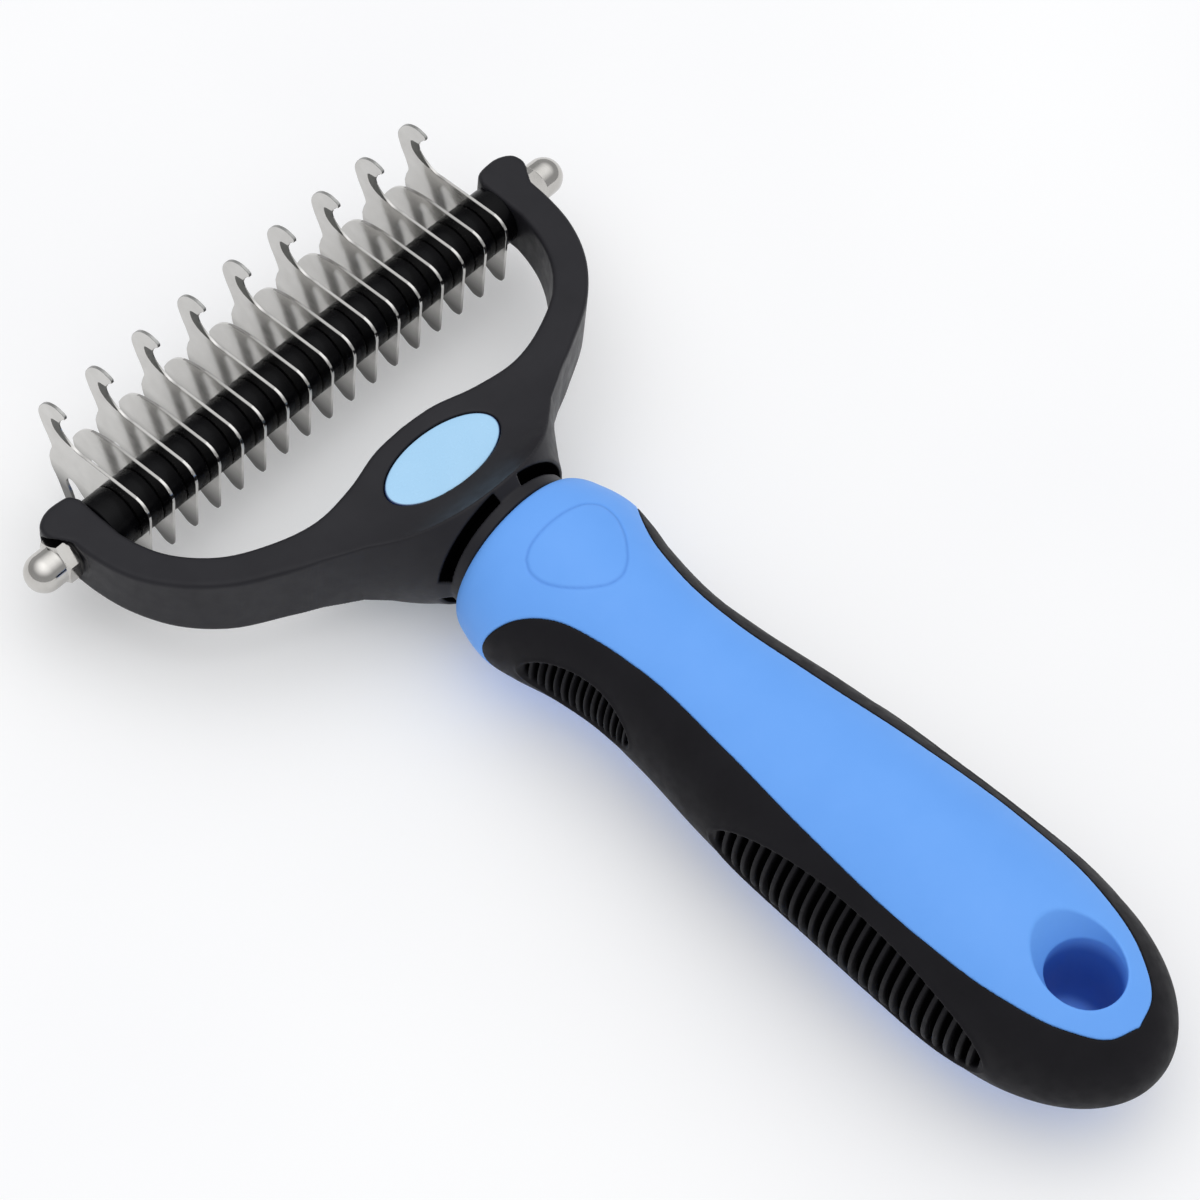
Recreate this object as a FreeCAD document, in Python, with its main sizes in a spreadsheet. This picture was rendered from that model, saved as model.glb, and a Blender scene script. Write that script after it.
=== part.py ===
import FreeCAD, Part
import math
import os

import Sketcher

# Undercoat rake, in millimetres. The origin is the middle of the hanging hole. X runs parallel to
# the blade shaft, Y points forward along the handle and Z is up, along the hole. The tool is double
# sided, so the yoke and the handle are symmetric about both the XY and the YZ plane.
# Each piece is drawn with the middle of the blade shaft at its own origin, then moved forward.

V = FreeCAD.Vector
X_AXIS = V(1, 0, 0)
Z_AXIS = V(0, 0, 1)
NO_TURN = FreeCAD.Rotation()

doc = FreeCAD.newDocument("undercoat_rake")
sheet = doc.addObject("Spreadsheet::Sheet", "Dims")

DIMENSIONS = {
    "blade_total": 17,
    "blade_pitch": 4.6,
    "blade_thick": 0.5,
    "shaft_dia": 4.0,
    "shaft_length": 101.0,
    "shaft_chamfer": 0.4,
    "stack_bore": 4.1,
    "sleeve_dia": 9.4,
    "arm_inner": 41.3,
    "nut_seat": 46.9,
    "nut_gap": 0.05,
    "nut_flats": 6.4,
    "nut_hex": 2.7,
    "nut_height": 7.8,
    "nut_dome": 3.05,
    "nut_bore": 4.1,
    "nut_bore_depth": 4.6,
    "seat_recess": 8.5,
    "arm_half": 4.7,
    "neck_core_front": 38.4,
    "neck_end": 40.9,
    "neck_end_dia": 26.0,
    "collar_dia": 23.2,
    "collar_front": 42.0,
    "collar_back": 44.0,
    "slot_floor": 9.8,
    "spigot_dia": 19.0,
    "spigot_end": 50.0,
    "tang_width": 13.0,
    "tang_height": 9.0,
    "tang_end": 96.0,
    "socket_gap": 0.05,
    "badge_long": 10.7,
    "badge_short": 5.3,
    "badge_gap": 0.25,
    "badge_thick": 1.4,
    "badge_forward": 28.6,
    "badge_height": 6.35,
    "badge_tilt": 6.0,
    "grip_skin": 2.3,
    "hole_dia": 11.4,
    "hole_back": 149.7,
    "hole_wall": 9.7,
}

# Handle sections: distance behind the shaft, half width, half depth.
HANDLE_SECTIONS = [
    (44.0, 12.6, 12.0),
    (45.2, 13.8, 12.4),
    (48.0, 15.1, 12.8),
    (52.5, 16.0, 13.1),
    (57.0, 15.3, 13.1),
    (62.0, 13.9, 13.0),
    (70.0, 12.7, 12.5),
    (80.0, 13.3, 12.4),
    (94.0, 15.2, 12.9),
    (110.0, 16.5, 14.1),
    (128.0, 17.1, 15.0),
    (140.0, 16.8, 14.5),
    (150.0, 15.2, 12.5),
    (158.0, 11.4, 9.3),
    (162.0, 7.6, 6.3),
    (164.0, 4.2, 3.6),
    (164.7, 1.2, 1.1),
]
CORE_SECTION_RANGE = (47.0, 159.0)
CORE_TAIL = (161.8, 3.2, 2.6)

# Half of the blue panel's outline, seen from above: half width, distance behind the shaft.
PANEL_OUTLINE = [
    (16.6, 51.6),
    (15.4, 52.9),
    (12.9, 55.5),
    (10.1, 60.0),
    (8.3, 67.0),
    (7.6, 76.0),
    (8.8, 91.0),
    (10.9, 109.5),
    (12.1, 129.0),
    (11.2, 143.0),
    (8.2, 153.0),
    (4.3, 158.2),
    (0.0, 159.7),
]

# Ribbed zones on the sides of the grip: middle, half length, half height, rib count.
RIB_ZONES = [
    (68.6, 10.2, 5.0, 15),
    (121.8, 25.2, 8.3, 25),
]
RIB_DEPTH = 0.9
RIB_FILL = 0.6

# Blade outline in the YZ plane, shared by both kinds.
REAR_EDGE = -6.4
REAR_CORNER = [(REAR_EDGE, 4.4), (-5.55, 6.45), (-3.5, 7.3)]
TOOTH_BACK = [(14.7, -0.8), (14.4, -2.4), (13.1, -4.8), (11.8, -7.8), (10.4, -11.1), (9.1, -14.0)]
TOOTH_TIP = [(9.1, -14.0), (8.1, -15.0), (7.6, -13.8)]
TOOTH_FRONT = [(7.6, -13.8), (9.1, -9.6), (10.2, -6.1), (11.2, -3.4), (10.5, -2.3), (9.4, -2.4),
               (8.2, -3.5), (6.5, -4.7), (4.0, -5.1)]
REAR_LOBE = [(-1.6, -5.1), (-3.3, -6.1), (-5.0, -6.8), (-6.2, -6.4), (REAR_EDGE, -5.2)]
# Top of a hooked blade: the concave cutting edge, the beak and the back of the hook.
HOOK_EDGE = [(6.4, 6.4), (9.0, 6.25), (10.4, 6.9), (11.7, 8.0), (12.5, 9.2), (12.0, 10.8),
             (11.4, 11.5)]
HOOK_BEAK = [(11.4, 11.5), (10.9, 12.0), (11.5, 12.4)]
HOOK_BACK = [(11.5, 12.4), (12.8, 12.95), (14.6, 12.3), (16.1, 10.5), (16.6, 8.6), (15.9, 6.4),
             (14.6, 3.9), (14.05, 2.3), (14.4, 0.9), (14.7, -0.8)]
# Top of a short blade: it falls away to the front with no hook.
SHORT_TOP = [(6.0, 6.4), (9.0, 5.6), (10.9, 4.7), (12.5, 3.3), (14.0, 0.9), (14.7, -0.8)]

# Half of the yoke, seen from above.
YOKE_OUTSIDE = [(47.2, -1.5), (46.9, -5.6), (45.8, -10.7), (42.2, -17.5), (37.2, -22.6),
                (28.0, -27.8), (23.2, -30.5), (20.2, -33.6), (18.0, -37.0), (16.4, -40.9)]
YOKE_TIP = [(41.3, 3.4), (42.1, 4.8), (44.4, 5.35), (47.0, 5.1), (48.8, 3.9), (49.2, 2.2),
            (48.5, 0.4), (47.2, -1.5)]
YOKE_INSIDE = [(41.3, -4.8), (40.8, -7.4), (39.4, -11.5), (34.4, -18.0), (28.7, -21.2),
               (20.5, -23.4), (13.0, -22.6), (5.5, -20.6), (0.0, -20.2)]
# Top face of the yoke in the YZ plane: level at the tips, rising along the arms to the collar.
YOKE_TOP = [(-7.0, 4.7), (-12.0, 5.0), (-17.0, 5.6), (-22.0, 6.0), (-28.6, 6.35), (-32.0, 7.0),
            (-35.0, 8.1), (-38.0, 10.4), (-40.0, 12.6), (-41.2, 14.4)]
# The neck's round flare into the collar: radius, distance behind the shaft.
NECK_FLARE = [(13.0, 40.9), (14.2, 38.9), (15.8, 36.9), (17.6, 34.7), (20.2, 32.2), (25.4, 29.2),
              (32.0, 26.4)]
# Each pair gives the start and end of a collar slot, in degrees from the top.
SLOT_SPANS = [(10.5, 88.0), (110.0, 169.5)]


def fill_sheet():
    for row, (alias, value) in enumerate(DIMENSIONS.items(), start=1):
        sheet.set(f"A{row}", alias)
        sheet.set(f"B{row}", str(value))
        sheet.setAlias(f"B{row}", alias)
    doc.recompute()


def size(alias):
    return DIMENSIONS[alias]


def behind(points):
    """Turn (half width, distance behind the shaft) pairs into (x, y) pairs."""
    return [(x, -back) for x, back in points]


def mirrored(points):
    return [(-x, y) for x, y in reversed(points)]


def new_body(label):
    body = doc.addObject("PartDesign::Body", label)
    body.Label = label
    return body


def new_sketch(body, role, name, offset=0.0):
    """A sketch on one of the body's origin planes, moved along the plane's normal."""
    sketch = body.newObject("Sketcher::SketchObject", f"{body.Name}_{name}")
    plane = next(item for item in body.Origin.OriginFeatures if item.Role == role)
    sketch.AttachmentSupport = (plane, "")
    sketch.MapMode = "FlatFace"
    sketch.AttachmentOffset = FreeCAD.Placement(V(0, 0, offset), NO_TURN)
    return sketch


def add_line(sketch, start, end):
    sketch.addGeometry(Part.LineSegment(V(*start, 0), V(*end, 0)))


def add_curve(sketch, points):
    curve = Part.BSplineCurve()
    curve.interpolate([V(a, b, 0) for a, b in points])
    sketch.addGeometry(curve)


def add_arc(sketch, points):
    sketch.addGeometry(Part.Arc(*[V(a, b, 0) for a, b in points]))


def add_circle(sketch, expression, name):
    """A circle on the sketch's origin, with its diameter bound to the sheet."""
    index = sketch.addGeometry(Part.Circle(V(0, 0, 0), Z_AXIS, 1.0))
    sketch.addConstraint(Sketcher.Constraint("Coincident", index, 3, -1, 1))
    number = sketch.addConstraint(Sketcher.Constraint("Diameter", index, 2.0))
    sketch.renameConstraint(number, name)
    sketch.setExpression(f"Constraints.{name}", expression)


def add_rectangle(sketch, width, height):
    """A rectangle centred on the sketch's origin, with both sides bound to the sheet."""
    corners = [(-1, -1), (1, -1), (1, 1), (-1, 1)]
    first = sketch.GeometryCount
    for start, end in zip(corners, corners[1:] + corners[:1]):
        add_line(sketch, start, end)
    for side in range(4):
        sketch.addConstraint(
            Sketcher.Constraint("Coincident", first + side, 2, first + (side + 1) % 4, 1))
    for side, kind in enumerate(["Horizontal", "Vertical", "Horizontal", "Vertical"]):
        sketch.addConstraint(Sketcher.Constraint(kind, first + side))
    sketch.addConstraint(Sketcher.Constraint("Symmetric", first, 1, first + 1, 2, -1, 1))
    for side, name, expression in [(0, "across", width), (1, "upright", height)]:
        number = sketch.addConstraint(Sketcher.Constraint("Distance", first + side, 2.0))
        sketch.renameConstraint(number, name)
        sketch.setExpression(f"Constraints.{name}", expression)


def extrude(body, sketch, length, symmetric=False, cut=False):
    """Pad or pocket a sketch along its normal by an expression."""
    kind = "PartDesign::Pocket" if cut else "PartDesign::Pad"
    feature = body.newObject(kind, f"{sketch.Name}_{'cut' if cut else 'pad'}")
    feature.Profile = sketch
    if symmetric:
        feature.SideType = "Symmetric"
    elif cut:
        feature.Reversed = True
    feature.setExpression("Length", length)
    return feature


def boolean(kind, name, base, tool):
    feature = doc.addObject(f"Part::{kind}", name)
    feature.Base = base
    feature.Tool = tool
    return feature


def solid_feature(name, shape, placement=FreeCAD.Placement()):
    feature = doc.addObject("Part::Feature", name)
    feature.Shape = shape
    feature.Placement = placement
    return feature


def ellipse(name, back, half_width, half_depth):
    """An ellipse across the handle at a distance behind the shaft."""
    ring = doc.addObject("Part::Ellipse", name)
    ring.MajorRadius = half_width
    ring.MinorRadius = half_depth
    ring.Placement = FreeCAD.Placement(V(0, -back, 0), FreeCAD.Rotation(X_AXIS, 90))
    return ring


def loft(name, sections):
    feature = doc.addObject("Part::Loft", name)
    feature.Sections = [
        ellipse(f"{name}_{number}", *section) for number, section in enumerate(sections)
    ]
    feature.Solid = True
    return feature


def make_blade(label, number, hooked):
    body = new_body(label)
    sketch = new_sketch(body, "YZ_Plane", "outline")
    top = HOOK_EDGE if hooked else SHORT_TOP
    add_line(sketch, REAR_LOBE[-1], REAR_CORNER[0])
    add_arc(sketch, REAR_CORNER)
    add_line(sketch, REAR_CORNER[-1], top[0])
    add_curve(sketch, top)
    if hooked:
        add_arc(sketch, HOOK_BEAK)
        add_curve(sketch, HOOK_BACK)
    add_curve(sketch, TOOTH_BACK)
    add_arc(sketch, TOOTH_TIP)
    add_curve(sketch, TOOTH_FRONT)
    add_line(sketch, TOOTH_FRONT[-1], REAR_LOBE[0])
    add_curve(sketch, REAR_LOBE)
    add_circle(sketch, "Dims.stack_bore", "bore")
    extrude(body, sketch, "Dims.blade_thick", symmetric=True)
    body.setExpression(
        "Placement.Base.x", f"({number} - (Dims.blade_total - 1) / 2) * Dims.blade_pitch")
    return body


def make_spacer(label, length, middle):
    body = new_body(label)
    sketch = new_sketch(body, "YZ_Plane", "ring")
    add_circle(sketch, "Dims.sleeve_dia", "outside")
    add_circle(sketch, "Dims.stack_bore", "bore")
    extrude(body, sketch, length, symmetric=True)
    body.setExpression("Placement.Base.x", middle)
    return body


def make_stack():
    """Blades and spacers: even places hold hooked blades, odd places hold short ones."""
    parts = []
    hooks = 0
    shorts = 0
    for number in range(size("blade_total")):
        hooked = number % 2 == 0
        hooks += hooked
        shorts += not hooked
        label = f"hook_blade_{hooks}" if hooked else f"short_blade_{shorts}"
        parts.append(make_blade(label, number, hooked))
    for number in range(1, size("blade_total")):
        middle = f"({number} - Dims.blade_total / 2) * Dims.blade_pitch"
        length = "Dims.blade_pitch - Dims.blade_thick"
        parts.append(make_spacer(f"spacer_{number:02d}", length, middle))
    stack_end = "((Dims.blade_total - 1) * Dims.blade_pitch + Dims.blade_thick) / 2"
    for side, sign in [("left", "-"), ("right", "")]:
        middle = f"{sign}(Dims.arm_inner + {stack_end}) / 2"
        parts.append(make_spacer(f"end_spacer_{side}", f"Dims.arm_inner - {stack_end}", middle))
    return parts


def make_shaft():
    body = new_body("blade_shaft")
    sketch = new_sketch(body, "YZ_Plane", "round")
    add_circle(sketch, "Dims.shaft_dia", "across")
    rod = extrude(body, sketch, "Dims.shaft_length", symmetric=True)
    doc.recompute()
    rims = [f"Edge{index}" for index, edge in enumerate(rod.Shape.Edges, start=1)
            if edge.Curve.TypeId == "Part::GeomCircle"]
    chamfer = body.newObject("PartDesign::Chamfer", "blade_shaft_ends")
    chamfer.Base = (rod, rims)
    chamfer.setExpression("Size", "Dims.shaft_chamfer")
    return body


def make_cap_nut(label, side):
    """Domed cap nut with its seat at the local origin and its dome towards local +X."""
    body = new_body(label)
    corner = size("nut_flats") / math.sqrt(3)
    hexagon = new_sketch(body, "YZ_Plane", "hexagon")
    corners = [(corner * math.cos(math.radians(60 * k + 30)), corner * math.sin(math.radians(60 * k + 30)))
               for k in range(6)]
    for start, end in zip(corners, corners[1:] + corners[:1]):
        add_line(hexagon, start, end)
    extrude(body, hexagon, "Dims.nut_hex")
    dome = new_sketch(body, "XY_Plane", "dome")
    radius = size("nut_dome")
    tip = size("nut_height")
    wall_end = tip - radius
    eased = (wall_end + radius * math.sin(math.pi / 4), radius * math.cos(math.pi / 4))
    add_line(dome, (0, 0), (0, radius))
    add_line(dome, (0, radius), (wall_end, radius))
    add_arc(dome, [(wall_end, radius), eased, (tip, 0)])
    add_line(dome, (tip, 0), (0, 0))
    turned = body.newObject("PartDesign::Revolution", f"{label}_dome_turned")
    turned.Profile = dome
    turned.ReferenceAxis = (dome, ["H_Axis"])
    turned.Angle = 360
    bore = new_sketch(body, "YZ_Plane", "bore")
    add_circle(bore, "Dims.nut_bore", "across")
    extrude(body, bore, "Dims.nut_bore_depth", cut=True)
    turn = 0 if side > 0 else 180
    place = V(side * (size("nut_seat") + size("nut_gap")), 0, 0)
    body.Placement = FreeCAD.Placement(place, FreeCAD.Rotation(Z_AXIS, turn))
    return body


def make_yoke_plate():
    """The U-shaped plate, with its top and bottom cut to the rising side profile."""
    body = new_body("yoke_plate")
    plan = new_sketch(body, "XY_Plane", "plan")
    add_curve(plan, YOKE_INSIDE + mirrored(YOKE_INSIDE)[1:])
    for side in (1, -1):
        turn = [(side * x, y) for x, y in YOKE_TIP]
        outside = [(side * x, y) for x, y in YOKE_OUTSIDE]
        add_line(plan, (side * YOKE_INSIDE[0][0], YOKE_INSIDE[0][1]), turn[0])
        add_curve(plan, turn)
        add_curve(plan, outside)
    neck_x, neck_y = YOKE_OUTSIDE[-1]
    add_line(plan, (neck_x, neck_y), (-neck_x, neck_y))
    reach = YOKE_TOP[-1][1]
    plate = extrude(body, plan, f"2 * {reach}", symmetric=True)
    profile = new_sketch(body, "YZ_Plane", "profile")
    front = 8.0
    level = (front, YOKE_TOP[0][1])
    for side in (1, -1):
        top = [(y, side * z) for y, z in YOKE_TOP]
        add_line(profile, (level[0], side * level[1]), top[0])
        add_curve(profile, top)
        add_line(profile, top[-1], (top[-1][0], side * 2 * reach))
        add_line(profile, (top[-1][0], side * 2 * reach), (front, side * 2 * reach))
        add_line(profile, (front, side * 2 * reach), (level[0], side * level[1]))
    trim = extrude(body, profile, "4 * Dims.shaft_length", symmetric=True, cut=True)
    flare = new_sketch(body, "XY_Plane", "flare")
    curve = behind(NECK_FLARE)
    far = (curve[-1][0], neck_y - 1)
    add_curve(flare, curve)
    add_line(flare, curve[-1], far)
    add_line(flare, far, (curve[0][0], far[1]))
    add_line(flare, (curve[0][0], far[1]), curve[0])
    groove = body.newObject("PartDesign::Groove", "yoke_plate_neck")
    groove.Profile = flare
    groove.ReferenceAxis = (flare, ["V_Axis"])
    groove.Angle = 360
    doc.recompute()
    if not plate.Shape.Volume > trim.Shape.Volume > groove.Shape.Volume:
        raise RuntimeError("a cut in the yoke plate removes nothing")
    return body


def make_yoke():
    """Yoke plate, neck, slotted collar, spigot and tang in one moulding."""
    body = new_body("yoke_stem")
    collar = new_sketch(body, "XY_Plane", "collar")
    edge = behind([
        (0.0, size("neck_core_front")), (size("slot_floor"), size("neck_core_front")),
        (size("slot_floor"), size("neck_end")), (size("neck_end_dia") / 2, size("neck_end")),
        (size("collar_dia") / 2, size("collar_front")),
        (size("collar_dia") / 2, size("collar_back")), (0.0, size("collar_back")),
    ])
    for start, end in zip(edge, edge[1:] + edge[:1]):
        add_line(collar, start, end)
    turned = body.newObject("PartDesign::Revolution", "yoke_stem_collar_ring")
    turned.Profile = collar
    turned.ReferenceAxis = (collar, ["V_Axis"])
    turned.Angle = 360
    spigot = new_sketch(body, "XZ_Plane", "spigot", size("collar_front"))
    add_circle(spigot, "Dims.spigot_dia", "across")
    extrude(body, spigot, "Dims.spigot_end - Dims.collar_front")
    tang = new_sketch(body, "XZ_Plane", "tang", size("collar_front"))
    add_rectangle(tang, "Dims.tang_width", "Dims.tang_height")
    extrude(body, tang, "Dims.tang_end - Dims.collar_front")
    slots = new_sketch(body, "XZ_Plane", "slots", size("neck_end"))
    for side in (1, -1):
        for start, end in SLOT_SPANS:
            add_slot_sector(slots, side, start, end)
    extrude(body, slots, "Dims.collar_front - Dims.neck_end", cut=True)
    joined = doc.addObject("Part::MultiFuse", "yoke_joined")
    joined.Shapes = [make_yoke_plate(), body]
    tools = doc.addObject("Part::Compound", "yoke_cuts")
    tools.Links = [make_shaft_bore(), *make_seat_recesses(), *make_badges("badge_pocket", True)]
    yoke = boolean("Cut", "yoke_frame", joined, tools)
    return yoke


def add_slot_sector(sketch, side, start, end):
    """One slot seen along the handle: an annular sector, with angles from the top."""
    inner = size("slot_floor")
    outer = size("neck_end_dia") / 2 + 1.0

    def at(radius, angle):
        return (side * radius * math.sin(math.radians(angle)),
                radius * math.cos(math.radians(angle)))

    middle = (start + end) / 2
    add_arc(sketch, [at(outer, start), at(outer, middle), at(outer, end)])
    add_line(sketch, at(outer, end), at(inner, end))
    add_arc(sketch, [at(inner, end), at(inner, middle), at(inner, start)])
    add_line(sketch, at(inner, start), at(outer, start))


def make_shaft_bore():
    bore = doc.addObject("Part::Cylinder", "shaft_bore")
    bore.setExpression("Radius", "Dims.stack_bore / 2")
    bore.setExpression("Height", "Dims.shaft_length + 10")
    bore.Placement = FreeCAD.Placement(
        V(-(size("shaft_length") + 10) / 2, 0, 0), FreeCAD.Rotation(V(0, 1, 0), 90))
    return bore


def make_seat_recesses():
    """Spot faces that leave a lip of the arm's tip over the front of each nut."""
    recesses = []
    for name, side in [("left", -1), ("right", 1)]:
        recess = doc.addObject("Part::Cylinder", f"seat_recess_{name}")
        recess.setExpression("Radius", "Dims.seat_recess / 2")
        recess.Height = 6.0
        recess.Placement = FreeCAD.Placement(
            V(side * size("nut_seat"), 0, 0), FreeCAD.Rotation(V(0, 1, 0), side * 90))
        recesses.append(recess)
    return recesses


def make_badges(label, is_pocket):
    """Oval inlays, or the pockets for them, on the top and bottom of the yoke."""
    gap = size("badge_gap") if is_pocket else 0.0
    height = 6.0 if is_pocket else size("badge_thick")
    oval = Part.Ellipse(V(0, 0, 0), size("badge_long") + gap, size("badge_short") + gap)
    face = Part.Face(Part.Wire([oval.toShape()]))
    block = face.extrude(V(0, 0, height))
    if not is_pocket:
        rim = max(block.Edges, key=lambda edge: edge.CenterOfMass.z)
        block = block.makeFillet(0.35, [rim])
    drop = -size("badge_thick")
    block.translate(V(0, 0, drop))
    parts = []
    origin = 0.0 if is_pocket else size("hole_back")
    for name, side in [("top", 1), ("bottom", -1)]:
        flip = FreeCAD.Rotation(V(0, 1, 0), 0 if side > 0 else 180)
        lean = FreeCAD.Rotation(X_AXIS, -side * size("badge_tilt"))
        place = V(0, origin - size("badge_forward"), side * size("badge_height"))
        parts.append(solid_feature(
            f"{label}_{name}", block.copy(), FreeCAD.Placement(place, lean.multiply(flip))))
    return parts


def make_panel_tool():
    """Upright prism with the blue panel's outline, open over the whole front of the handle."""
    body = new_body("panel_tool")
    sketch = new_sketch(body, "XY_Plane", "outline")
    half = behind(PANEL_OUTLINE)
    wide = 22.0
    front = -40.0
    add_curve(sketch, half + mirrored(half)[1:])
    start_x, start_y = half[0]
    for side in (1, -1):
        add_line(sketch, (side * start_x, start_y), (side * wide, start_y))
        add_line(sketch, (side * wide, start_y), (side * wide, front))
    add_line(sketch, (wide, front), (-wide, front))
    extrude(body, sketch, "4 * Dims.hole_wall", symmetric=True)
    return body


def make_hole_tool():
    """The hanging hole: a round bore with a slanted lead-in at each face."""
    radius = size("hole_dia") / 2
    back = -size("hole_back")
    wall = size("hole_wall")
    bore = doc.addObject("Part::Cylinder", "hole_bore")
    bore.setExpression("Radius", "Dims.hole_dia / 2")
    bore.setExpression("Height", "2 * Dims.hole_wall")
    bore.Placement = FreeCAD.Placement(V(0, back, -wall), NO_TURN)
    lead_reach = 7.0
    lead_shift = 2.4
    lead_flare = 2.0
    parts = [bore]
    for name, side in [("top", 1), ("bottom", -1)]:
        rings = []
        for step, (rise, shift, flare) in enumerate([(0, 0, 0), (lead_reach, lead_shift, lead_flare)]):
            ring = doc.addObject("Part::Circle", f"lead_in_{name}_{step}")
            ring.Radius = radius + flare
            ring.Placement = FreeCAD.Placement(V(0, back + shift, side * (wall + rise)), NO_TURN)
            rings.append(ring)
        lead = doc.addObject("Part::Loft", f"lead_in_{name}")
        lead.Sections = rings
        lead.Solid = True
        lead.Ruled = True
        parts.append(lead)
    tool = doc.addObject("Part::MultiFuse", "hole_tool")
    tool.Shapes = parts
    return tool


def make_stem_socket():
    """The room that the yoke's spigot and tang fill inside the handle."""
    body = new_body("stem_socket")
    spigot = new_sketch(body, "XZ_Plane", "spigot", size("collar_back") - 1)
    add_circle(spigot, "Dims.spigot_dia + 2 * Dims.socket_gap", "across")
    extrude(body, spigot, "Dims.spigot_end - Dims.collar_back + 1 + Dims.socket_gap")
    tang = new_sketch(body, "XZ_Plane", "tang", size("collar_back") - 1)
    gap = "2 * Dims.socket_gap"
    add_rectangle(tang, f"Dims.tang_width + {gap}", f"Dims.tang_height + {gap}")
    extrude(body, tang, "Dims.tang_end - Dims.collar_back + 1 + Dims.socket_gap")
    return body


def handle_radii(back):
    """Half width and half depth of the handle at a distance behind the shaft."""
    pairs = zip(HANDLE_SECTIONS, HANDLE_SECTIONS[1:])
    near, far = next(pair for pair in pairs if pair[0][0] <= back <= pair[1][0])
    share = (back - near[0]) / (far[0] - near[0])
    return [a + (b - a) * share for a, b in zip(near[1:], far[1:])]


def make_groove(back, width, reach, side):
    """A curved band that follows the side of the handle, RIB_DEPTH below its surface."""
    wide, deep = handle_radii(back)

    def at(extra, height):
        half_depth = deep + extra
        return V(side * (wide + extra) * math.sqrt(1 - (height / half_depth) ** 2),
                 -back - width / 2, height)

    inner = [at(-RIB_DEPTH, height) for height in (-reach, 0, reach)]
    outer = [at(1.0, height) for height in (reach, 0, -reach)]
    edges = [
        Part.Arc(*inner).toShape(),
        Part.LineSegment(inner[-1], outer[0]).toShape(),
        Part.Arc(*outer).toShape(),
        Part.LineSegment(outer[-1], inner[0]).toShape(),
    ]
    return Part.Face(Part.Wire(edges)).extrude(V(0, width, 0))


def make_rib_tool():
    """Grooves between the ribs, in an oval zone on each side of the grip."""
    grooves = []
    for middle, half_length, half_height, count in RIB_ZONES:
        pitch = 2 * half_length / (count + 0.6)
        for number in range(count):
            offset = (number - (count - 1) / 2) * pitch
            reach = half_height * math.sqrt(1 - (offset / half_length) ** 2) - 0.25
            for side in (1, -1):
                grooves.append(make_groove(middle + offset, pitch * RIB_FILL, reach, side))
    return solid_feature("rib_tool", Part.makeCompound(grooves))


def make_handle():
    outer = loft("handle_outer", HANDLE_SECTIONS)
    skin = size("grip_skin")
    first, last = CORE_SECTION_RANGE
    kept = [section for section in HANDLE_SECTIONS if first < section[0] < last]
    inner = loft("handle_inner", [(b, w - skin, d - skin) for b, w, d in kept] + [CORE_TAIL])
    panel = make_panel_tool()
    face = boolean("Common", "handle_face", outer, panel)
    blank = doc.addObject("Part::MultiFuse", "handle_blank")
    blank.Shapes = [face, inner]
    cuts = doc.addObject("Part::Compound", "handle_cuts")
    cuts.Links = [make_hole_tool(), make_stem_socket()]
    core = boolean("Cut", "handle_core", blank, cuts)
    band = boolean("Cut", "grip_band", outer, panel)
    sleeve = boolean("Cut", "grip_sleeve", band, inner)
    grip = boolean("Cut", "grip_overmould", sleeve, make_rib_tool())
    return [core, grip]


def check(parts):
    for item in doc.Objects:
        if {"Invalid", "Error"} & set(item.State):
            raise RuntimeError(f"{item.Label} did not recompute: {item.State}")
    for part in parts:
        if part.Shape.isNull() or not part.Shape.isValid():
            raise RuntimeError(f"{part.Label} has no valid shape")
        if len(part.Shape.Solids) != 1:
            raise RuntimeError(f"{part.Label} is {len(part.Shape.Solids)} solids")


def export(parts):
    os.makedirs("parts", exist_ok=True)
    for part in parts:
        part.Shape.exportStep(os.path.join("parts", f"{part.Label}.step"))


fill_sheet()
nodes = [make_yoke(), make_shaft(), make_cap_nut("cap_nut_left", -1), make_cap_nut("cap_nut_right", 1)]
nodes += make_handle()
nodes += make_stack()
for node in nodes:
    node.setExpression("Placement.Base.y", "Dims.hole_back")
nodes += make_badges("badge", False)
doc.recompute()
check(nodes)
export(nodes)
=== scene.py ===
import math

import bmesh
import bpy
import numpy as np
from mathutils import Matrix, Vector
from mathutils.geometry import tessellate_polygon


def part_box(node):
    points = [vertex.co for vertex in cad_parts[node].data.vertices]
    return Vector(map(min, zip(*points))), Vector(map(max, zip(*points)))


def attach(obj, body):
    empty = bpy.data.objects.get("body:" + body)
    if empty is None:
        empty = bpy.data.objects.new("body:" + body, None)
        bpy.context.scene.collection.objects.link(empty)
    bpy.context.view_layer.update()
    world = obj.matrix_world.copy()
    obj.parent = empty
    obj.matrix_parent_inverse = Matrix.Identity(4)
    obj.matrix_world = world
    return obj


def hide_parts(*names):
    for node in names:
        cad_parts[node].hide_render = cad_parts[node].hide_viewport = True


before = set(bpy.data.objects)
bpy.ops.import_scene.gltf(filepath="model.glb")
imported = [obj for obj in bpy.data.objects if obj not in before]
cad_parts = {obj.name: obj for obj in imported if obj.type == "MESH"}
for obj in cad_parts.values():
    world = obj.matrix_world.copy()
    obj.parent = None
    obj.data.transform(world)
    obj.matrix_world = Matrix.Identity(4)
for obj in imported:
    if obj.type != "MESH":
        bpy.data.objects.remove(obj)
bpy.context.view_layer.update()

# Shapes are written in millimetres from the middle of the blade shaft, with X along the shaft and
# the handle towards -Y. Each piece's own origin is put there, so its mesh is in those axes too.
MM = 0.001
scene = bpy.context.scene
SHAFT_PLACE = sum((Vector(corner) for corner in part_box("blade_shaft")), Vector()) / 2

FINE_STEP = 0.2
YOKE_STEP = 0.24
RIM_SIDES = 96

FLOOR_HEIGHT = -15.05
FLOOR_GLOW = 0.2

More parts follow.
